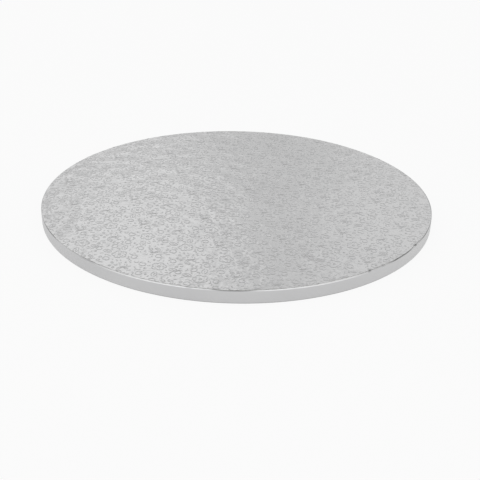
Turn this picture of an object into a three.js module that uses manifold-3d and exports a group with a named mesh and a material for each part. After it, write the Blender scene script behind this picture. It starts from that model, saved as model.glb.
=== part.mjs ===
// Round cake board covered in silver foil paper, lying flat with its underside on z = 0.
// A stiff card core carries a smooth foil strip round its side. The strip is turned over both
// faces of the core, in shallow pressed rebates. A disc of embossed foil paper covers the top,
// cut just inside the rim, and a smaller disc of plain paper covers the underside.
import * as THREE from "three";
import { mergeVertices } from "three/addons/utils/BufferGeometryUtils.js";
import Module from "manifold-3d";

// Driving dimensions, in millimetres and degrees
const board_diameter = 355.6;
const core_thickness = 11.4;
const edge_paper_thickness = 0.25;
const edge_lip_width = 9;
const edge_shoulder_radius = 0.9;
const top_foil_thickness = 0.25;
const top_foil_inset = 1;
const base_paper_thickness = 0.2;
const base_paper_inset = 4.5;

// Fits
const glue_line = 0.1;
const lip_end_clearance = 0.3;

// Embossed pattern, a square repeat of flowers, leaves and scrolls
const pattern_repeat = 54;
const pattern_turn = 15.5;
const emboss_height = 0.15;
const emboss_margin = 0.6;
const rosette_radius = 6;
const rosette_petals = 5;
const rosette_notch_radius = 4.2;
const leaf_length = 8.6;
const leaf_width = 4.4;
const scroll_radius = 5;
const scroll_thickness = 1.7;

// Places in one repeat, as [across, along, heading], the first two as shares of the repeat
const rosette_places = [
  [0.24, 0.74, 20],
  [0.74, 0.24, 55],
];
const leaf_places = [
  [0.36, 0.64, -42],
  [0.17, 0.6, -118],
  [0.64, 0.34, 138],
  [0.81, 0.37, 62],
];
const scroll_places = [
  [0.72, 0.76, 35],
  [0.26, 0.26, 215],
];

// Smoothness of the round shapes
const round_steps = 96;
const shoulder_steps = 2;
const petal_steps = 3;
const leaf_steps = 3;
const scroll_steps = 4;

// Levels and radii worked out from the dimensions
const board_radius = board_diameter / 2;
const core_bottom = base_paper_thickness;
const core_top = core_bottom + core_thickness;
const foil_ground = core_top + top_foil_thickness;
const emboss_top = foil_ground + emboss_height;
const foil_radius = board_radius - top_foil_inset;
const lip_end_radius = board_radius - edge_lip_width;
const shoulder_centre_radius = board_radius - edge_shoulder_radius;
const shoulder_low = core_bottom + edge_shoulder_radius;
const shoulder_high = core_top - edge_shoulder_radius;

const wasm = await Module();
wasm.setup();

// A profile of [radius, height] points turned about the vertical axis
function turned(profile) {
  const points = profile.map(([radius, height]) => new THREE.Vector2(radius, height));
  const geometry = new THREE.LatheGeometry(points, round_steps);
  geometry.rotateX(Math.PI / 2);
  return geometry;
}

function disc(radius, low, high) {
  return turned([[0, low], [radius, low], [radius, high], [0, high]]);
}

// Points of one rounded shoulder, from one angle to another, ends included
function shoulder(height, radius, from, to) {
  const arc = [];
  for (let step = 0; step <= shoulder_steps; step += 1) {
    const angle = THREE.MathUtils.degToRad(from + ((to - from) * step) / shoulder_steps);
    arc.push([
      shoulder_centre_radius + radius * Math.cos(angle),
      height + radius * Math.sin(angle),
    ]);
  }
  return arc;
}

function solid_from(geometry) {
  const bare = geometry.index ? geometry.clone() : geometry;
  bare.deleteAttribute("normal");
  bare.deleteAttribute("uv");
  const merged = mergeVertices(bare);
  return new wasm.Manifold(new wasm.Mesh({
    numProp: 3,
    vertProperties: merged.attributes.position.array,
    triVerts: new Uint32Array(merged.index.array),
  }));
}

function geometry_from(solid) {
  const mesh = solid.getMesh();
  const geometry = new THREE.BufferGeometry();
  geometry.setAttribute("position", new THREE.BufferAttribute(mesh.vertProperties, 3));
  geometry.setIndex(new THREE.BufferAttribute(mesh.triVerts, 1));
  geometry.computeVertexNormals();
  return geometry;
}

// Flower outline: scalloped, with one notch between each two petals
function rosette_outline() {
  const corners = [];
  for (let step = 0; step < rosette_petals * petal_steps; step += 1) {
    const radius = step % petal_steps === 0 ? rosette_notch_radius : rosette_radius;
    const angle = (2 * Math.PI * step) / (rosette_petals * petal_steps);
    corners.push(new THREE.Vector2(radius * Math.cos(angle), radius * Math.sin(angle)));
  }
  return new THREE.Shape(corners);
}

// Pointed leaf that starts at the origin and runs along the heading
function leaf_outline() {
  const outline = new THREE.Shape();
  outline.moveTo(0, 0);
  outline.quadraticCurveTo(leaf_length / 2, -leaf_width, leaf_length, 0);
  outline.quadraticCurveTo(leaf_length / 2, leaf_width, 0, 0);
  return outline;
}

// Half-round scroll, thick in the middle and thin at both ends
function scroll_outline() {
  const outline = new THREE.Shape();
  outline.absarc(0, 0, scroll_radius, 0, Math.PI, false);
  outline.quadraticCurveTo(0, 2 * (scroll_radius - scroll_thickness), scroll_radius, 0);
  return outline;
}

// One motif raised above the foil's ground, rooted halfway into the sheet
function raised(outline, steps) {
  const root = core_top + top_foil_thickness / 2;
  const geometry = new THREE.ExtrudeGeometry(outline, {
    depth: emboss_top - root,
    bevelEnabled: false,
    curveSegments: steps,
  });
  geometry.translate(0, 0, root);
  return geometry;
}

// Every copy of one motif that touches the foil disc
function copies_of(motif, places) {
  const copies = [];
  const reach = Math.ceil(board_diameter / pattern_repeat);
  const turn = THREE.MathUtils.degToRad(pattern_turn);
  const room = foil_radius + leaf_length;
  for (let row = -reach; row <= reach; row += 1) {
    for (let column = -reach; column <= reach; column += 1) {
      for (const [across, along, heading] of places) {
        const place = new THREE.Vector2(column + across, row + along);
        place.multiplyScalar(pattern_repeat).rotateAround(new THREE.Vector2(), turn);
        if (place.length() > room) continue;
        const copy = motif.clone();
        copy.rotateZ(turn + THREE.MathUtils.degToRad(heading));
        copy.translate(place.x, place.y, 0);
        copies.push(solid_from(copy));
      }
    }
  }
  return copies;
}

function core_board() {
  const rebate_radius = lip_end_radius - lip_end_clearance;
  const rebate_floor = core_bottom + edge_paper_thickness;
  const rebate_roof = core_top - edge_paper_thickness;
  const wall_radius = board_radius - edge_paper_thickness - glue_line;
  return turned([
    [0, core_bottom],
    [rebate_radius, core_bottom],
    [rebate_radius, rebate_floor],
    [shoulder_centre_radius, rebate_floor],
    [wall_radius, shoulder_low],
    [wall_radius, shoulder_high],
    [shoulder_centre_radius, rebate_roof],
    [rebate_radius, rebate_roof],
    [rebate_radius, core_top],
    [0, core_top],
  ]);
}

function edge_band() {
  const inner_radius = edge_shoulder_radius - edge_paper_thickness;
  const start = [lip_end_radius, core_bottom];
  return turned([
    start,
    ...shoulder(shoulder_low, edge_shoulder_radius, -90, 0),
    ...shoulder(shoulder_high, edge_shoulder_radius, 0, 90),
    [lip_end_radius, core_top],
    [lip_end_radius, core_top - edge_paper_thickness],
    ...shoulder(shoulder_high, inner_radius, 90, 0),
    ...shoulder(shoulder_low, inner_radius, 0, -90),
    [lip_end_radius, core_bottom + edge_paper_thickness],
    start,
  ]);
}

function top_foil() {
  const motifs = [
    ...copies_of(raised(rosette_outline(), 1), rosette_places),
    ...copies_of(raised(leaf_outline(), leaf_steps), leaf_places),
    ...copies_of(raised(scroll_outline(), scroll_steps), scroll_places),
  ];
  const pattern = motifs.reduce((joined, motif) => joined.add(motif));
  const field = solid_from(disc(foil_radius - emboss_margin, core_bottom, emboss_top + foil_radius));
  const sheet = solid_from(disc(foil_radius, core_top, foil_ground));
  return geometry_from(sheet.add(pattern.intersect(field)));
}

function base_paper() {
  return disc(board_radius - base_paper_inset, 0, base_paper_thickness);
}

const card = new THREE.MeshStandardMaterial({ color: 0x9c8f7c, roughness: 0.9, metalness: 0 });
const smooth_foil = new THREE.MeshStandardMaterial({ color: 0xc3c3c4, roughness: 0.32, metalness: 1 });
const embossed_foil = new THREE.MeshStandardMaterial({ color: 0xc8c8c9, roughness: 0.38, metalness: 1 });
const white_paper = new THREE.MeshStandardMaterial({ color: 0xe9e7e2, roughness: 0.85, metalness: 0 });

function named(name, geometry, material) {
  const mesh = new THREE.Mesh(geometry, material);
  mesh.name = name;
  return mesh;
}

const cake_board = new THREE.Group();
cake_board.add(named("core_board", core_board(), card));
cake_board.add(named("edge_band", edge_band(), smooth_foil));
cake_board.add(named("top_foil", top_foil(), embossed_foil));
cake_board.add(named("base_paper", base_paper(), white_paper));

export default cake_board;
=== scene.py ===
# Round cake board in silver foil paper, lying on a pale table in soft studio light.
import math
import random

import bpy
import numpy as np
from mathutils import Matrix, Vector
from mathutils.geometry import delaunay_2d_cdt


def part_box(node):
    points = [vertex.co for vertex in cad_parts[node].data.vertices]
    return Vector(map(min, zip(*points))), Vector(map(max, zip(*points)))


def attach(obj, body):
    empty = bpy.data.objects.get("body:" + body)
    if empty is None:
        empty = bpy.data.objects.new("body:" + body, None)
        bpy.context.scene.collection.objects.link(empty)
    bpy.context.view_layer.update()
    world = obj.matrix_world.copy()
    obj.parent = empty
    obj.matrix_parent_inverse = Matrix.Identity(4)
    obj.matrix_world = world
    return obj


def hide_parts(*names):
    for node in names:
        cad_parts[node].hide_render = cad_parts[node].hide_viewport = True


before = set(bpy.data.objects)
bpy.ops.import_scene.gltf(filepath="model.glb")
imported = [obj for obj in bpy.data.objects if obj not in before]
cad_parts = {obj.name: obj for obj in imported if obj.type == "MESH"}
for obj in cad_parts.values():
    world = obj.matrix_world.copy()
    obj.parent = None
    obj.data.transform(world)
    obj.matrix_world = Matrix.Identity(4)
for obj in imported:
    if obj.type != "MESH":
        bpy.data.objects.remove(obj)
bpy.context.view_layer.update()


# Core board
# The stiff heart of the board: layers of grey-brown recycled card pressed flat and cut round.
# The foil papers are glued to it and hide it all over, so its own CAD solid stays as it is.

mm = 0.001


def new_material(name):
    """A material that holds only its surface shader, which the caller sets."""
    material = bpy.data.materials.new(name)
    material.use_nodes = True
    nodes = material.node_tree.nodes
    nodes.clear()
    output = nodes.new("ShaderNodeOutputMaterial")
    surface = nodes.new("ShaderNodeBsdfPrincipled")
    material.node_tree.links.new(surface.outputs["BSDF"], output.inputs["Surface"])
    return material, surface


def add_node(material, kind, **settings):
    node = material.node_tree.nodes.new(kind)
    for name, value in settings.items():
        setattr(node, name, value)
    return node


def link(material, source, target):
    material.node_tree.links.new(source, target)


def colour_ramp(material, stops):
    """A ramp between two tones, each with its place from 0 to 1."""
    node = add_node(material, "ShaderNodeValToRGB")
    for element, (place, colour) in zip(node.color_ramp.elements, stops):
        element.position = place
        element.color = (*colour, 1)
    return node


def card_material():
    material, surface = new_material("pressed_card")
    place = add_node(material, "ShaderNodeTexCoord")
    layers = add_node(material, "ShaderNodeMapping")
    layers.inputs["Scale"].default_value = (60, 60, 900)
    fibres = add_node(material, "ShaderNodeTexNoise")
    fibres.inputs["Scale"].default_value = 3
    fibres.inputs["Detail"].default_value = 8
    tone = colour_ramp(material, [(0.3, (0.24, 0.19, 0.14)), (0.7, (0.42, 0.35, 0.27))])
    relief = add_node(material, "ShaderNodeBump")
    relief.inputs["Strength"].default_value = 0.4
    relief.inputs["Distance"].default_value = 0.2 * mm
    surface.inputs["Roughness"].default_value = 0.92
    link(material, place.outputs["Object"], layers.inputs["Vector"])
    link(material, layers.outputs["Vector"], fibres.inputs["Vector"])
    link(material, fibres.outputs["Fac"], tone.inputs["Fac"])
    link(material, tone.outputs["Color"], surface.inputs["Base Color"])
    link(material, fibres.outputs["Fac"], relief.inputs["Height"])
    link(material, relief.outputs["Normal"], surface.inputs["Normal"])
    return material


core_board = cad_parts["core_board"]
core_board.material_slots[0].material = card_material()


# Side band
# A strip of plain silver foil paper glued round the side and turned over both faces of the card.
# Its lips are pressed flat in small pleats, and its ends lap at the back of the board.

band_low, band_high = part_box("edge_band")
board_radius = band_high.x
band_thickness = 0.25 * mm
lip_width = 9 * mm
shoulder_radius = 0.9 * mm
lap_angle = math.radians(97)
lap_span = math.radians(4.5)
lap_height = 0.12 * mm
pleat_count = 150
pleat_depth = 0.09 * mm
pleat_run = 4 * mm
pleat_drift = 0.9
lip_spacing = 3 * mm
waver_depth = 0.02 * mm
ripple_depth = 0.006 * mm
band_steps = 1440
sharp_bend = math.radians(50)

# Painted light on the side band: how high the painted highlight and painted gap shade reach on the
# shoulder, how high the painted contact shadow reaches on the foot, the gap that gives full shade, and
# how far they brighten or darken the tone.
painted_top_height = 0.7 * mm
foot_shadow_height = 0.7 * mm
open_gap = 0.2 * mm
highlight_gain = 0.5
highlight_patchiness = 0.15
gap_shade_loss = 0.55
foot_shadow_loss = 0.45

# Where the top foil's cut edge stands open: angle and half span in degrees, gap in millimetres.
edge_lifts = [
    (-170, 9, 0.08), (-153, 7, 0.19), (-131, 3, 0.05), (-101, 0.8, 0.06), (-90.4, 4.2, 0.15),
    (-53.7, 0.5, 0.1), (-48.6, 0.8, 0.05), (-40.5, 5.2, 0.23), (-32.6, 0.6, 0.16), (-22, 7, 0.18),
    (4, 13, 0.17), (63, 9, 0.08), (121, 5, 0.05),
]
# Where a highlight is painted on the shoulder: angle and half span in degrees, and how much.
highlight_stretches = [(-110, 15, 1), (-70.5, 14.5, 1), (38, 20, 0.4), (100, 22, 0.5), (165, 12, 0.3)]


def foil_grain():
    """Unevenness of foil on paper: slow clouds, and the fine fibres of the paper under it."""
    group = bpy.data.node_groups.new("foil_grain", "ShaderNodeTree")
    face = group.interface
    face.new_socket(name="Vector", in_out="INPUT", socket_type="NodeSocketVector")
    for name in ("Fibre Scale", "Cloud Scale"):
        face.new_socket(name=name, in_out="INPUT", socket_type="NodeSocketFloat")
    for name in ("Clouds", "Fibres"):
        face.new_socket(name=name, in_out="OUTPUT", socket_type="NodeSocketFloat")
    start = group.nodes.new("NodeGroupInput")
    end = group.nodes.new("NodeGroupOutput")
    clouds = group.nodes.new("ShaderNodeTexNoise")
    clouds.inputs["Detail"].default_value = 4
    fibres = group.nodes.new("ShaderNodeTexNoise")
    fibres.inputs["Detail"].default_value = 3
    for node, scale, name in ((clouds, "Cloud Scale", "Clouds"), (fibres, "Fibre Scale", "Fibres")):
        group.links.new(start.outputs["Vector"], node.inputs["Vector"])
        group.links.new(start.outputs[scale], node.inputs["Scale"])
        group.links.new(node.outputs["Fac"], end.inputs[name])
    return group


def spread(material, source, low, high):
    """A mask between 0 and 1 spread over low to high."""
    node = add_node(material, "ShaderNodeMapRange")
    node.inputs["To Min"].default_value = low
    node.inputs["To Max"].default_value = high
    link(material, source, node.inputs["Value"])
    return node.outputs["Result"]


grain_group = foil_grain()


def smooth_foil_material():
    """Smooth foil, with a painted highlight and painted shade scaled into its tone by the edge
    attribute.
    """
    material, surface = new_material("smooth_foil_paper")
    place = add_node(material, "ShaderNodeTexCoord")
    grain = add_node(material, "ShaderNodeGroup", node_tree=grain_group)
    grain.inputs["Fibre Scale"].default_value = 1300
    grain.inputs["Cloud Scale"].default_value = 9
    tone = colour_ramp(material, [(0.35, (0.625, 0.625, 0.63)), (0.65, (0.67, 0.67, 0.672))])
    painted_light_attribute = add_node(material, "ShaderNodeAttribute", attribute_name="edge_painted_light")
    # Painted highlight and shade: the edge attribute scales the foil's base colour.
    painted_tone = add_node(material, "ShaderNodeVectorMath", operation="SCALE")
    relief = add_node(material, "ShaderNodeBump")
    relief.inputs["Strength"].default_value = 0.25
    relief.inputs["Distance"].default_value = 0.02 * mm
    surface.inputs["Metallic"].default_value = 1
    link(material, place.outputs["Object"], grain.inputs["Vector"])
    link(material, grain.outputs["Clouds"], tone.inputs["Fac"])
    link(material, tone.outputs["Color"], painted_tone.inputs[0])
    link(material, painted_light_attribute.outputs["Fac"], painted_tone.inputs["Scale"])
    link(material, painted_tone.outputs["Vector"], surface.inputs["Base Color"])
    link(material, spread(material, grain.outputs["Clouds"], 0.3, 0.4), surface.inputs["Roughness"])
    link(material, grain.outputs["Fibres"], relief.inputs["Height"])
    link(material, relief.outputs["Normal"], surface.inputs["Normal"])
    return material


def mesh_piece(name, points, faces, material, node, smooth=True):
    """A mesh of one material that stands in for one CAD node."""
    mesh = bpy.data.meshes.new(name)
    mesh.from_pydata([tuple(point) for point in points], [], [tuple(face) for face in faces])
    mesh.validate()
    mesh.materials.append(material)
    if smooth:
        mesh.shade_smooth()
    piece = bpy.data.objects.new(name, mesh)
    bpy.context.collection.objects.link(piece)
    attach(piece, "root")
    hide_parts(node)
    return piece


def closed_ring(rows):
    """Faces between rows of points, round the ring and round the section."""
    count, steps = rows.shape[:2]
    faces = []
    for row in range(count):
        here = row * steps
        ahead = (row + 1) % count * steps
        for step in range(steps):
            side = (step + 1) % steps
            faces.append((here + step, here + side, ahead + side, ahead + step))
    return rows.reshape(-1, 3), faces


def wave_sum(angles, seed, low, high, count):
    """A gentle irregular wave round the board, about -1 to 1: a count of low to high waves each."""
    pick = random.Random(seed)
    total = np.zeros_like(angles)
    for _ in range(count):
        waves = pick.randint(low, high)
        total += np.cos(waves * angles + pick.uniform(0, math.tau)) * pick.uniform(0.5, 1)
    return total / math.sqrt(count)


def arc(centre_radius, centre_height, radius, start, end, steps):
    """Points of an arc in the band's section, between two angles in degrees."""
    angles = np.radians(np.linspace(start, end, steps + 1))
    return [(centre_radius + radius * math.cos(a), centre_height + radius * math.sin(a)) for a in angles]


def round_the_edge(angles, swellings):
    """Sum of smooth swellings round the board, each with its angle, half span and height."""
    total = np.zeros_like(angles)
    for place, half_span, height in swellings:
        away = (np.degrees(angles) - place + 180) % 360 - 180
        total += height * np.exp(-((away / half_span) ** 4))
    return total


def side_band():
    """The strip round the side: one section swept round, then lapped and pleated, with painted highlight
    and shade on its tone.
    """
    low, high = band_low.z, band_high.z
    side_low, side_high = low + shoulder_radius, high - shoulder_radius
    centre = board_radius - shoulder_radius
    inner = shoulder_radius - band_thickness
    lip_end = board_radius - lip_width
    lip_middle = lip_end + 4 * mm
    outside = [(lip_end + n * lip_spacing, low) for n in range(3)]
    outside += arc(centre, side_low, shoulder_radius, -90, 0, 5)
    outside += [(board_radius, side_low + (side_high - side_low) * share) for share in (0.25, 0.5, 0.75)]
    outside += arc(centre, side_high, shoulder_radius, 0, 90, 6)
    outside += [(lip_middle, high), (lip_end, high)]
    inside = [(lip_end, high - band_thickness)]
    inside += arc(centre, side_high, inner, 90, 0, 2) + arc(centre, side_low, inner, 0, -90, 2)
    inside += [(lip_end, low + band_thickness)]
    section = np.array(outside + inside)
    level = section[:, 1]
    skin = np.zeros(len(section))
    skin[: len(outside)] = 1

    angles = np.arange(band_steps) * math.tau / band_steps
    radii = np.repeat(section[:, :1], band_steps, 1)
    wall_low, wall_high = low + 0.5 * mm, high - 0.3 * mm
    wall = skin * (level > wall_low) * (level < wall_high)
    waver = waver_depth * wave_sum(angles, 3, 5, 40, 10)
    waver += ripple_depth * wave_sum(angles, 4, 90, 260, 12)
    along = (angles - lap_angle) / lap_span
    lap = lap_height * np.where((along > 0) & (along < 1), 1 - along**6, 0)
    radii += wall[:, None] * (waver + lap)[None, :]

    heights = np.repeat(section[:, 1:], band_steps, 1)
    under_top = low + 0.05 * mm
    under = skin * (level < under_top)
    drift = pleat_drift * wave_sum(angles, 5, 6, 30, 8)
    pleats = np.abs(np.sin(pleat_count * angles / 2 + drift)) ** 6
    reach = np.clip((centre - section[:, 0]) / pleat_run, 0, 1)
    heights -= (under * reach)[:, None] * pleat_depth * pleats[None, :]
    rows = np.stack([radii * np.cos(angles), radii * np.sin(angles), heights], 2)
    points, faces = closed_ring(rows)
    piece = mesh_piece("side_band", points, faces, smooth_foil_material(), "edge_band")

    # Painted shade: the shoulder darkens where the top foil's cut edge stands open, for the shadow in
    # the gap under it.
    gap_shade = (round_the_edge(angles, edge_lifts) * mm / open_gap).clip(0, 1)
    # Painted highlight: the shoulder's tone is brightened along these stretches, patchily, and less
    # where the painted gap shade lies.
    shoulder_highlight = round_the_edge(angles, highlight_stretches) * (1 - gap_shade)
    shoulder_highlight *= 1 - highlight_patchiness + highlight_patchiness * wave_sum(angles, 31, 30, 200, 12)
    shoulder = skin * (level > high - painted_top_height)
    # Painted shadow: the foot of the side band darkens, for the table's contact shadow.
    foot_shadow = skin * (level < low + foot_shadow_height)
    # The tone holds painted light: painted highlight and gap shade on the shoulder, and painted contact
    # shadow on the foot.
    tone = 1 + np.outer(shoulder, highlight_gain * shoulder_highlight - gap_shade_loss * gap_shade) - foot_shadow_loss * foot_shadow[:, None]
    painted_light_attribute = piece.data.attributes.new("edge_painted_light", "FLOAT", "POINT")
    painted_light_attribute.data.foreach_set("value", tone.ravel().astype(np.float32))
    piece.data.set_sharp_from_angle(angle=sharp_bend)


side_band()


# Base paper
# A disc of plain white paper pasted over the lower lip, a little smaller than the board.
# It lies flat on the table, with a faint cockle along its cut edge.

paper_low, paper_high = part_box("base_paper")
cockle_height = 0.03 * mm
paper_steps = 360

# The disc's outline from its middle below to its middle above: share of the radius, share of the
# thickness, and how much of the cockle lifts it.
paper_section = [
    (0.02, 0, 0), (0.5, 0, 0), (0.96, 0, 0), (0.985, 0, 0.5), (1, 0, 1),
    (1, 1, 0), (0.985, 1, 0), (0.96, 1, 0), (0.5, 1, 0), (0.02, 1, 0),
]


def paper_material():
    material, surface = new_material("plain_paper")
    place = add_node(material, "ShaderNodeTexCoord")
    fibres = add_node(material, "ShaderNodeTexNoise")
    fibres.inputs["Scale"].default_value = 420
    fibres.inputs["Detail"].default_value = 6
    tone = colour_ramp(material, [(0.3, (0.74, 0.73, 0.7)), (0.7, (0.83, 0.82, 0.79))])
    relief = add_node(material, "ShaderNodeBump")
    relief.inputs["Strength"].default_value = 0.35
    relief.inputs["Distance"].default_value = 0.05 * mm
    surface.inputs["Roughness"].default_value = 0.85
    link(material, place.outputs["Object"], fibres.inputs["Vector"])
    link(material, fibres.outputs["Fac"], tone.inputs["Fac"])
    link(material, tone.outputs["Color"], surface.inputs["Base Color"])
    link(material, fibres.outputs["Fac"], relief.inputs["Height"])
    link(material, relief.outputs["Normal"], surface.inputs["Normal"])
    return material


def base_paper():
    """The disc: its outline swept round, with a small face in the middle of each side."""
    radius = paper_high.x
    thickness = paper_high.z - paper_low.z
    angles = np.arange(paper_steps) * math.tau / paper_steps
    cockle = cockle_height * (1 + wave_sum(angles, 11, 9, 34, 8)).clip(0, 2)
    rows = np.empty((len(paper_section), paper_steps, 3))
    for row, (share, level, lift) in enumerate(paper_section):
        rows[row, :, 0] = radius * share * np.cos(angles)
        rows[row, :, 1] = radius * share * np.sin(angles)
        rows[row, :, 2] = paper_low.z + level * thickness + lift * cockle
    points, faces = closed_ring(rows)
    faces = faces[:-paper_steps]
    last = (len(paper_section) - 1) * paper_steps
    faces.append(tuple(range(paper_steps))[::-1])
    faces.append(tuple(range(last, last + paper_steps)))
    mesh_piece(
        "base_paper_disc", points, faces, paper_material(), "base_paper", smooth=False,
    )


base_paper()


# Top foil
# A disc of silver foil paper glued over the top, cut just inside the rim. The foil is embossed
# by a roller with a square repeat of flowers, leaves, scrolls and small curls round plain spots.

foil_low, foil_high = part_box("top_foil")
foil_radius = foil_high.x
sheet_thickness = 0.25 * mm
ground = foil_low.z + sheet_thickness
repeat = 54 * mm
pattern_turn = math.radians(15.5)
relief_height = 0.18 * mm
field_height = 0.05 * mm
line_half_width = 0.52 * mm
sharp_crease = math.radians(11)

# Where the motifs lie: shares of the repeat across and along it, then a heading in degrees.
flower_places = [(0.24, 0.74, 20), (0.74, 0.24, 55)]
leaf_places = [(0.36, 0.64, -42), (0.17, 0.6, -118), (0.64, 0.34, 138), (0.81, 0.37, 62)]
scroll_places = [(0.72, 0.76, 35), (0.26, 0.26, 215)]
# A tendril also says which way it curls.
tendril_places = [
    (0.48, 0.50, 10, 1), (0.46, 0.84, 160, -1), (0.52, 0.16, 250, 1), (0.03, 0.86, 70, 1),
    (0.95, 0.12, 300, -1), (0.07, 0.36, 200, -1), (0.93, 0.60, 20, 1), (0.70, 0.52, 120, -1),
    (0.30, 0.05, 30, 1),
]
# Spots left plain have a radius instead of a heading, also as a share of the repeat.
plain_spots = [
    (0.50, 0.99, 0.055), (0.04, 0.05, 0.085), (0.90, 0.88, 0.05), (0.42, 0.36, 0.05),
    (0.60, 0.62, 0.045), (0.05, 0.62, 0.05), (0.55, 0.10, 0.045), (0.30, 0.49, 0.04),
    (0.93, 0.30, 0.045),
]


def traced(function, start, end, steps):
    """Points of a function between two values, in equal steps."""
    return np.array([function(start + (end - start) * step / steps) for step in range(steps + 1)])


def turned_to(angle):
    """Direction at an angle in radians."""
    return np.array([math.cos(angle), math.sin(angle)])


def flower():
    """Outline of five petals, the ring in the middle and the lines of the petals."""
    petals = 5
    heart, notch, tip = 1.15 * mm, 4.2 * mm, 6 * mm
    petal_line = (2.5, 3.4, 4.4)

    def outline(angle):
        share = (angle * petals / math.tau) % 1
        return turned_to(angle) * (notch + (tip - notch) * math.sin(math.pi * share) ** 0.6)

    edge = traced(outline, 0, math.tau, 35)
    lines = [edge, traced(lambda a: heart * turned_to(a), 0, math.tau, 8)]
    for petal in range(petals):
        way = turned_to(math.tau * (petal + 0.5) / petals)
        lines.append(np.array([way * reach for reach in petal_line]) * mm)
    return lines, [edge]


def leaf():
    """Pointed leaf from the origin, with its rib."""
    length, bow = 8.6 * mm, 4.4 * mm

    def side(sign):
        return lambda t: np.array([length * t, sign * 2 * t * (1 - t) * bow])

    low, high = traced(side(-1), 0, 1, 8), traced(side(1), 0, 1, 8)
    lines = [low, high, np.array([[0.2, 0], [0.4, 0], [0.6, 0], [0.8, 0]]) * length]
    return lines, [np.concatenate([low, high[::-1]])]


def scroll():
    """Half-round scroll with ribs between its two edges and a curl at each end."""
    radius, inner_bow, curl_radius = 5 * mm, 6.6 * mm, 1.7 * mm
    rib = (3.8, 4.2, 4.6)
    outer = traced(lambda a: radius * turned_to(a), 0, math.pi, 14)
    inner = traced(lambda t: np.array([radius * (2 * t - 1), 2 * t * (1 - t) * inner_bow]), 0, 1, 12)
    lines = [outer, inner]
    for share in (0.32, 0.5, 0.68):
        way = turned_to(math.pi * share)
        lines.append(np.array([way * reach for reach in rib]) * mm)
    for sign in (-1, 1):
        def curl(t, sign=sign):
            point = curl_radius * (1 - 0.45 * t) * turned_to(1.6 * math.pi * t)
            return np.array([sign * (radius - curl_radius + point[0]), -point[1]])
        lines.append(traced(curl, 0, 1, 8))
    return lines, [np.concatenate([outer, inner])]


def tendril(side):
    """Curl that winds in from a free tip."""
    curl_radius = 3.7 * mm

    def path(t):
        point = curl_radius * (1 - 0.6 * t) * turned_to(2.3 * math.pi * t)
        return np.array([point[0], side * point[1]])

    return [traced(path, 0, 1, 15)]


def hook(size, pick):
    """Open curl that turns either way, by 160 to 290 degrees."""
    sweep = pick.choice((-1, 1)) * pick.uniform(2.8, 5)
    return [traced(lambda t: size * (1 - 0.25 * t) * turned_to(sweep * t), 0, 1, 8)]


def ring(size, pick):
    """Small oval."""
    return [traced(lambda a: 0.8 * size * turned_to(a) * (1.2, 0.85), 0, math.tau, 9)]


def bud(size, pick):
    """Drop with one pointed end."""
    def outline(a):
        return 0.7 * size * np.array([1.9 * math.cos(a / 2) - 1, 0.8 * math.sin(a)])

    return [traced(outline, -math.pi, math.pi, 8)]


def ess(size, pick):
    """One full wave, like a lying S."""
    return [traced(lambda t: size * np.array([3 * t - 1.5, 0.8 * math.sin(math.tau * t)]), 0, 1, 9)]


def fan(size, pick):
    """Four short rays."""
    return [np.array([0.7, 1.35, 2])[:, None] * size * turned_to(a) for a in (-0.9, -0.3, 0.3, 0.9)]


def comma(size, pick):
    """Short bowed stroke."""
    return [traced(lambda t: size * np.array([2 * t - 1, 0.5 * math.sin(math.pi * t)]), 0, 1, 3)]


# How often each small motif is drawn, its size in millimetres and its height against the relief's.
small_motifs = {hook: 8, ring: 0.6, bud: 1.6, ess: 5, fan: 2.5, comma: 3}
small_sizes = (1.15, 2.3)
small_heights = (0.8, 1.2)
bold_height = 1.2
least_gap = 1.4 * mm
dot_step = 0.5 * mm
tries = 6500


def placed(lines, across, along, heading):
    """Lines turned to a heading and moved to their place in the repeat."""
    turn = math.radians(heading)
    c, s = math.cos(turn), math.sin(turn)
    return [line @ np.array([[c, s], [-s, c]]) + np.array([across, along]) * repeat for line in lines]


def dotted(line, step):
    """Points along a line, about a step apart."""
    dots = []
    for start, end in zip(line[:-1], line[1:]):
        count = max(1, round(float(np.linalg.norm(end - start)) / step))
        dots += [start + (end - start) * k / count for k in range(count)]
    return np.array(dots + [line[-1]])


def gap_between(points, others):
    """Distances between two sets of points in a repeat that wraps round."""
    gap = np.abs(points[:, None] % repeat - others[None])
    gap = np.minimum(gap, repeat - gap)
    return np.sqrt((gap**2).sum(2))


def pattern_lines():
    """The lines of one repeat, the height of each, and the outlines of the raised fields."""
    lines, fields = [], []
    for motif, places in ((flower(), flower_places), (leaf(), leaf_places), (scroll(), scroll_places)):
        for place in places:
            lines += placed(motif[0], *place)
            fields += placed(motif[1], *place)
    for across, along, heading, side in tendril_places:
        lines += placed(tendril(side), across, along, heading)
    heights = [bold_height] * len(lines)
    pick = random.Random(7)
    taken = np.concatenate([dotted(line, dot_step) for line in lines]) % repeat
    spots = np.array(plain_spots) * repeat
    for _ in range(tries):
        small = pick.choices(list(small_motifs), list(small_motifs.values()))[0]
        size = pick.uniform(*small_sizes) * mm
        group = placed(small(size, pick), pick.random(), pick.random(), pick.uniform(0, 360))
        dots = np.concatenate([dotted(line, dot_step) for line in group])
        if gap_between(dots, taken).min() < least_gap:
            continue
        if (gap_between(dots, spots[:, :2]) < spots[:, 2]).any():
            continue
        lines += group
        heights += [pick.uniform(*small_heights)] * len(group)
        taken = np.concatenate([taken, dots % repeat])
    return lines, heights, fields


cell = 0.1 * mm
cells = round(repeat / cell)
fine_step = 0.12 * mm
taper_length = 0.8 * mm
tip_share = 0.15


def inside(polygon, x, y):
    """Which points lie in a polygon: those with an odd number of its edges to their right."""
    result = np.zeros(x.shape, bool)
    for (x0, y0), (x1, y1) in zip(polygon, np.roll(polygon, -1, 0)):
        if y0 == y1:
            continue
        result ^= ((y0 > y) != (y1 > y)) & (x < (x1 - x0) * (y - y0) / (y1 - y0) + x0)
    return result


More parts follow.
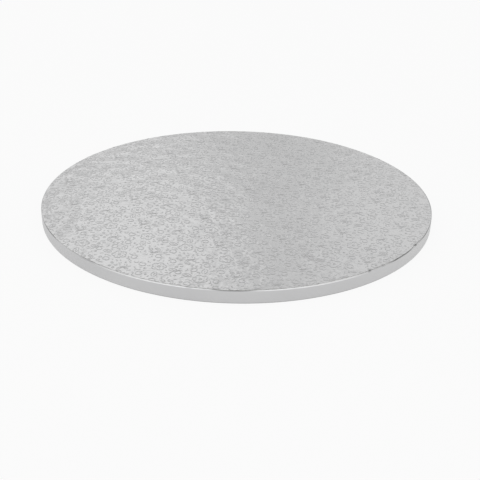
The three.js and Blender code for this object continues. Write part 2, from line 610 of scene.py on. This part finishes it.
def window(low, high):
    """Numbers of the cells over a stretch, and the place of each cell's middle."""
    index = np.arange(math.floor(low / cell) - 1, math.ceil(high / cell) + 2)
    return index, (index + 0.5) * cell


def relief_of(lines, heights, fields):
    """Height of the embossed foil over one repeat: raised fields with rounded lines on them."""
    relief = np.zeros((cells, cells))
    for polygon in fields:
        (low_x, low_y), (high_x, high_y) = polygon.min(0), polygon.max(0)
        (i, x), (j, y) = window(low_x, high_x), window(low_y, high_y)
        x, y = np.meshgrid(x, y, indexing="ij")
        spot = np.ix_(i % cells, j % cells)
        relief[spot] = np.maximum(relief[spot], np.where(inside(polygon, x, y), field_height, 0))
    for line, height in zip(lines, heights):
        closed = np.allclose(line[0], line[-1])
        dots = dotted(line, fine_step)
        for index, (px, py) in enumerate(dots):
            end = min(index, len(dots) - 1 - index) * fine_step / taper_length
            size = 1 if closed else min(1, tip_share + end)
            reach = line_half_width * size
            (i, x), (j, y) = window(px - reach, px + reach), window(py - reach, py + reach)
            away = np.hypot(*np.meshgrid(x - px, y - py, indexing="ij")) / reach
            spot = np.ix_(i % cells, j % cells)
            bump = relief_height * height * size * (1 - away).clip(0, 1)
            relief[spot] = np.maximum(relief[spot], bump)
    return relief


def read_field(field, points):
    """Values of a repeating field at points of the board."""
    c, s = math.cos(pattern_turn), math.sin(pattern_turn)
    tile = points @ np.array([[c, -s], [s, c]]) / cell - 0.5
    low = np.floor(tile).astype(int)
    part = tile - low
    total = 0
    for di in (0, 1):
        for dj in (0, 1):
            weight = (part[:, 0] if di else 1 - part[:, 0]) * (part[:, 1] if dj else 1 - part[:, 1])
            total = total + weight * field[(low[:, 0] + di) % cells, (low[:, 1] + dj) % cells]
    return total


def ribbon(line):
    """Points and edges of a raised line: its crest and both feet, joined at tapered tips."""
    closed = np.allclose(line[0], line[-1])
    if closed:
        line = line[:-1]
    way = np.roll(line, -1, 0) - np.roll(line, 1, 0)
    if not closed:
        way[0], way[-1] = line[1] - line[0], line[-1] - line[-2]
    way /= np.linalg.norm(way, axis=1)[:, None]
    out = np.stack([-way[:, 1], way[:, 0]], 1) * line_half_width
    count = len(line)
    if closed:
        points = np.concatenate([line, line + out, line - out])
        edges = [(k * count + n, k * count + (n + 1) % count) for k in range(3) for n in range(count)]
        return points, edges
    middle = count - 2
    points = np.concatenate([line, (line + out)[1:-1], (line - out)[1:-1]])
    edges = [(n, n + 1) for n in range(count - 1)]
    for first in (count, count + middle):
        edges += [(0, first), (first + middle - 1, count - 1)]
        edges += [(first + n, first + n + 1) for n in range(middle - 1)]
    return points, edges


# Where the cut edge reaches further out: angle and half span in degrees, reach in millimetres.
edge_overhangs = [
    (-152, 17, 0.8), (-90.3, 4.3, 1), (-71, 1.2, 0.25), (-40.5, 6.3, 0.9), (-22, 9, 0.8), (80, 30, 0.3),
]
most_overhang = 0.98 * mm
cut_inset = 0.1 * mm
cut_unevenness = 0.03 * mm
off_centre = 0.12 * mm
off_centre_way = math.radians(200)
nick_place = -53.1
nick_half_span = 0.35
nick_depth = 0.9 * mm


def edge_lift(angles):
    """How far the cut edge of the foil stands up, round the board."""
    return round_the_edge(angles, edge_lifts) * mm


def edge_radius(angles):
    """Radius of the cut edge: slightly off centre and uneven, with one small nick."""
    radius = foil_radius - cut_inset + off_centre * np.cos(angles - off_centre_way)
    radius += cut_unevenness * wave_sum(angles, 21, 20, 90, 12)
    radius += (round_the_edge(angles, edge_overhangs) * mm).clip(0, most_overhang)
    away = (np.degrees(angles) - nick_place + 180) % 360 - 180
    return radius - nick_depth * np.exp(-((away / nick_half_span) ** 2))


# The net of triangles: points along its rim and two inner rings, and how far lines keep off the rim.
rim_steps = 900
ring_steps = 450
ring_insets = (1.6 * mm, 3.2 * mm)
rim_margin = 0.3 * mm
cut_margin = 0.25 * mm
lift_run = 3.5 * mm
net_tolerance = 0.001


def tiles_over_disc():
    """Corners of the repeats that cover the disc, laid side by side."""
    reach = math.ceil(foil_radius / repeat) + 1
    c, s = math.cos(pattern_turn), math.sin(pattern_turn)
    for row in range(-reach, reach + 1):
        for column in range(-reach, reach + 1):
            yield np.array([c * column - s * row, s * column + c * row]) * repeat


def circle_points(radii, steps):
    """Points round the board, at one radius or at a radius for each."""
    angles = np.arange(steps) * math.tau / steps
    return np.stack([radii * np.cos(angles), radii * np.sin(angles)], 1)


def embossed_sheet():
    """The foil's upper surface: triangles with an edge along the crest and feet of every line."""
    lines, heights, fields = pattern_lines()
    relief = relief_of(lines, heights, fields)
    c, s = math.cos(pattern_turn), math.sin(pattern_turn)
    turn = np.array([[c, s], [-s, c]])
    rim_radii = edge_radius(np.arange(rim_steps) * math.tau / rim_steps)
    points = [circle_points(rim_radii, rim_steps)]
    edges = [(n, (n + 1) % rim_steps) for n in range(rim_steps)]
    filled = rim_steps
    ribbons = [ribbon(line) for line in lines]
    for corner in tiles_over_disc():
        for line, joins in ribbons:
            laid = line @ turn + corner
            radius = np.hypot(*laid.T)
            if radius.min() > foil_radius:
                continue
            cut_at = edge_radius(np.arctan2(laid[:, 1], laid[:, 0]))
            kept = radius < np.minimum(foil_radius - rim_margin, cut_at - cut_margin)
            number = np.cumsum(kept) - 1 + filled
            points.append(laid[kept])
            edges += [(int(number[a]), int(number[b])) for a, b in joins if kept[a] and kept[b]]
            filled += int(kept.sum())
    points += [circle_points(foil_radius - inset, ring_steps) for inset in ring_insets]
    points = np.concatenate(points)
    net, _, faces, _, _, _ = delaunay_2d_cdt(
        [Vector(point / mm) for point in points], edges, [], 0, net_tolerance, False,
    )
    flat = np.array([tuple(point) for point in net]) * mm
    radius = np.hypot(*flat.T)
    angle = np.arctan2(flat[:, 1], flat[:, 0])
    near_edge = np.clip(1 - (edge_radius(angle) - radius) / lift_run, 0, 1)
    lift = edge_lift(angle) * near_edge**2 * (3 - 2 * near_edge)
    top = np.column_stack([flat, ground + read_field(relief, flat) + lift])
    return top, faces


def embossed_material():
    """Embossed foil, a little uneven in tone and gloss, and faintly wavy all over."""
    material, surface = new_material("embossed_foil_paper")
    place = add_node(material, "ShaderNodeTexCoord")
    grain = add_node(material, "ShaderNodeGroup", node_tree=grain_group)
    grain.inputs["Fibre Scale"].default_value = 1100
    grain.inputs["Cloud Scale"].default_value = 16
    tone = colour_ramp(material, [(0.3, (0.56, 0.56, 0.562)), (0.7, (0.59, 0.59, 0.592))])
    relief = add_node(material, "ShaderNodeBump")
    relief.inputs["Strength"].default_value = 0.5
    relief.inputs["Distance"].default_value = 0.03 * mm
    swells = add_node(material, "ShaderNodeTexNoise")
    swells.inputs["Scale"].default_value = 60
    swells.inputs["Detail"].default_value = 3
    waviness = add_node(material, "ShaderNodeBump")
    waviness.inputs["Strength"].default_value = 1
    waviness.inputs["Distance"].default_value = 1.1 * mm
    surface.inputs["Metallic"].default_value = 1
    link(material, place.outputs["Object"], grain.inputs["Vector"])
    link(material, place.outputs["Object"], swells.inputs["Vector"])
    link(material, swells.outputs["Fac"], waviness.inputs["Height"])
    link(material, waviness.outputs["Normal"], relief.inputs["Normal"])
    link(material, grain.outputs["Clouds"], tone.inputs["Fac"])
    link(material, tone.outputs["Color"], surface.inputs["Base Color"])
    link(material, spread(material, grain.outputs["Clouds"], 0.17, 0.23), surface.inputs["Roughness"])
    link(material, grain.outputs["Fibres"], relief.inputs["Height"])
    link(material, relief.outputs["Normal"], surface.inputs["Normal"])
    return material


def cut_edge_material():
    material, surface = new_material("cut_paper_edge")
    place = add_node(material, "ShaderNodeTexCoord")
    fibres = add_node(material, "ShaderNodeTexNoise")
    fibres.inputs["Scale"].default_value = 350
    tone = colour_ramp(material, [(0.4, (0.35, 0.35, 0.34)), (0.65, (0.8, 0.8, 0.79))])
    surface.inputs["Roughness"].default_value = 0.8
    link(material, place.outputs["Object"], fibres.inputs["Vector"])
    link(material, fibres.outputs["Fac"], tone.inputs["Fac"])
    link(material, tone.outputs["Color"], surface.inputs["Base Color"])
    return material


def top_foil():
    """The embossed sheet with its cut edge and its plain underside."""
    top, faces = embossed_sheet()
    radii = np.hypot(*top[:, :2].T)
    angle = np.arctan2(top[:, 1], top[:, 0])
    rim_inside = edge_radius(angle) - 0.01 * mm
    on_rim = np.where(radii > rim_inside)[0]
    on_rim = on_rim[np.argsort(angle[on_rim])].tolist()
    count = len(on_rim)
    below = top[on_rim].copy()
    below[:, 2] = foil_low.z + edge_lift(angle[on_rim])
    first = len(top)
    points = np.concatenate([top, below, [[0, 0, foil_low.z]]])
    centre = len(points) - 1
    for n in range(count):
        m = (n + 1) % count
        faces.append((on_rim[n], first + n, first + m, on_rim[m]))
        faces.append((centre, first + m, first + n))
    piece = mesh_piece("embossed_top", points, faces, embossed_material(), "top_foil")
    piece.data.materials.append(cut_edge_material())
    wall = np.zeros(len(faces), np.int32)
    wall[-2 * count :: 2] = 1
    piece.data.polygons.foreach_set("material_index", wall)
    piece.data.set_sharp_from_angle(angle=sharp_crease)


top_foil()


# Table and light
# A plain pale table in a plain pale room, with one wide soft lamp above the front. The far wall
# has soft brighter and darker patches, which the foil mirrors.

backdrop_white = 0.973
table_shade = 0.75
mirrored_share = 0.64
camera_share = 0.9
table_half = 3

# Patches of the room: azimuth, elevation and half angle in degrees, then how much brighter.
room_patches = [(-8, 28.8, 10, 0.58), (4, 31, 8, 0.1), (12.5, 26.7, 9, 0.33), (0, 62, 38, -0.22)]


def table_material():
    """Matt table that looks pale to the camera and in the foil, and gives off no light of its own."""
    material = bpy.data.materials.new("pale_table")
    material.use_nodes = True
    material.node_tree.nodes.clear()
    output = add_node(material, "ShaderNodeOutputMaterial")
    shade = add_node(material, "ShaderNodeBsdfDiffuse")
    shade.inputs["Color"].default_value = (table_shade, table_shade, table_shade, 1)
    glow = add_node(material, "ShaderNodeEmission")
    glow.inputs["Color"].default_value = (1, 1, 1, 1)
    path = add_node(material, "ShaderNodeLightPath")
    mirrored = add_node(material, "ShaderNodeMath", operation="MULTIPLY")
    mirrored.inputs[1].default_value = mirrored_share
    share = add_node(material, "ShaderNodeMath", operation="MULTIPLY_ADD")
    share.inputs[1].default_value = camera_share
    mix = add_node(material, "ShaderNodeMixShader")
    link(material, path.outputs["Is Glossy Ray"], mirrored.inputs[0])
    link(material, path.outputs["Is Camera Ray"], share.inputs[0])
    link(material, mirrored.outputs[0], share.inputs[2])
    link(material, share.outputs[0], mix.inputs["Fac"])
    link(material, shade.outputs[0], mix.inputs[1])
    link(material, glow.outputs[0], mix.inputs[2])
    link(material, mix.outputs[0], output.inputs["Surface"])
    return material


table_mesh = bpy.data.meshes.new("table")
corners = [(x * table_half, y * table_half, 0) for x, y in ((-1, -1), (1, -1), (1, 1), (-1, 1))]
table_mesh.from_pydata(corners, [], [(0, 1, 2, 3)])
table_mesh.materials.append(table_material())
table = bpy.data.objects.new("table", table_mesh)
bpy.context.collection.objects.link(table)

world = bpy.data.worlds.new("studio")
bpy.context.scene.world = world
world.use_nodes = True
world_nodes = world.node_tree.nodes
world_links = world.node_tree.links
world_nodes.clear()
world_output = world_nodes.new("ShaderNodeOutputWorld")
room = world_nodes.new("ShaderNodeBackground")
room_way = world_nodes.new("ShaderNodeTexCoord")
room_light = world_nodes.new("ShaderNodeValue")
room_light.outputs[0].default_value = 1
room_light = room_light.outputs[0]


def soft_patch(total, azimuth, elevation, half_angle, gain):
    """Adds to the room a soft patch that the board sees, brighter or, below 0, darker."""
    azimuth, elevation = math.radians(azimuth), math.radians(elevation)
    level = math.cos(elevation)
    way = (math.sin(azimuth) * level, math.cos(azimuth) * level, math.sin(elevation))
    facing = world_nodes.new("ShaderNodeVectorMath")
    facing.operation = "DOT_PRODUCT"
    facing.inputs[1].default_value = way
    world_links.new(room_way.outputs["Generated"], facing.inputs[0])
    patch = world_nodes.new("ShaderNodeMapRange")
    patch.interpolation_type = "SMOOTHERSTEP"
    patch.inputs["From Min"].default_value = math.cos(math.radians(half_angle))
    patch.inputs["From Max"].default_value = 1
    patch.inputs["To Max"].default_value = gain
    world_links.new(facing.outputs["Value"], patch.inputs["Value"])
    joined = world_nodes.new("ShaderNodeMath")
    world_links.new(total, joined.inputs[0])
    world_links.new(patch.outputs["Result"], joined.inputs[1])
    return joined.outputs[0]


for patch in room_patches:
    room_light = soft_patch(room_light, *patch)
world_links.new(room_light, room.inputs["Strength"])
backdrop = world_nodes.new("ShaderNodeBackground")
backdrop.inputs["Color"].default_value = (backdrop_white, backdrop_white, backdrop_white, 1)
world_path = world_nodes.new("ShaderNodeLightPath")
world_mix = world_nodes.new("ShaderNodeMixShader")
world_links.new(world_path.outputs["Is Camera Ray"], world_mix.inputs["Fac"])
world_links.new(room.outputs[0], world_mix.inputs[1])
world_links.new(backdrop.outputs[0], world_mix.inputs[2])
world_links.new(world_mix.outputs[0], world_output.inputs["Surface"])


def soft_light(name, place, aim, width, depth, power):
    light = bpy.data.lights.new(name, "AREA")
    light.shape = "RECTANGLE"
    light.size = width
    light.size_y = depth
    light.energy = power
    lamp = bpy.data.objects.new(name, light)
    lamp.location = place
    lamp.rotation_euler = (Vector(aim) - Vector(place)).to_track_quat("-Z", "Y").to_euler()
    bpy.context.collection.objects.link(lamp)


soft_light(
    "front_overhead", place=(-0.2, -1.15, 1.3), aim=(-0.1, -0.3, 0), width=2.2, depth=0.8, power=2.3,
)


# Camera
# It stands in front of the board, about 27 degrees above the table and rolled a little, as the
# photograph's own camera did.

focal_length = 63.75
camera_tilt = math.radians(26.56)
camera_roll = math.radians(1.235)
camera_distance = 3.9657 * board_radius
aim_point = Vector((0.0206 * board_radius, -0.5291 * board_radius, ground))

camera_data = bpy.data.cameras.new("camera")
camera_data.lens = focal_length
camera = bpy.data.objects.new("camera", camera_data)
bpy.context.collection.objects.link(camera)
backward = Vector((0, -math.cos(camera_tilt), math.sin(camera_tilt)))
camera_right = Vector((1, 0, 0))
camera_up = backward.cross(camera_right)
rolled_right = camera_right * math.cos(camera_roll) + camera_up * math.sin(camera_roll)
rolled_up = camera_up * math.cos(camera_roll) - camera_right * math.sin(camera_roll)
camera.matrix_world = Matrix.Translation(aim_point + backward * camera_distance) @ Matrix(
    (rolled_right, rolled_up, backward)
).transposed().to_4x4()
camera_data.clip_start = 0.01
bpy.context.scene.camera = camera
bpy.context.scene.view_settings.view_transform = "Standard"
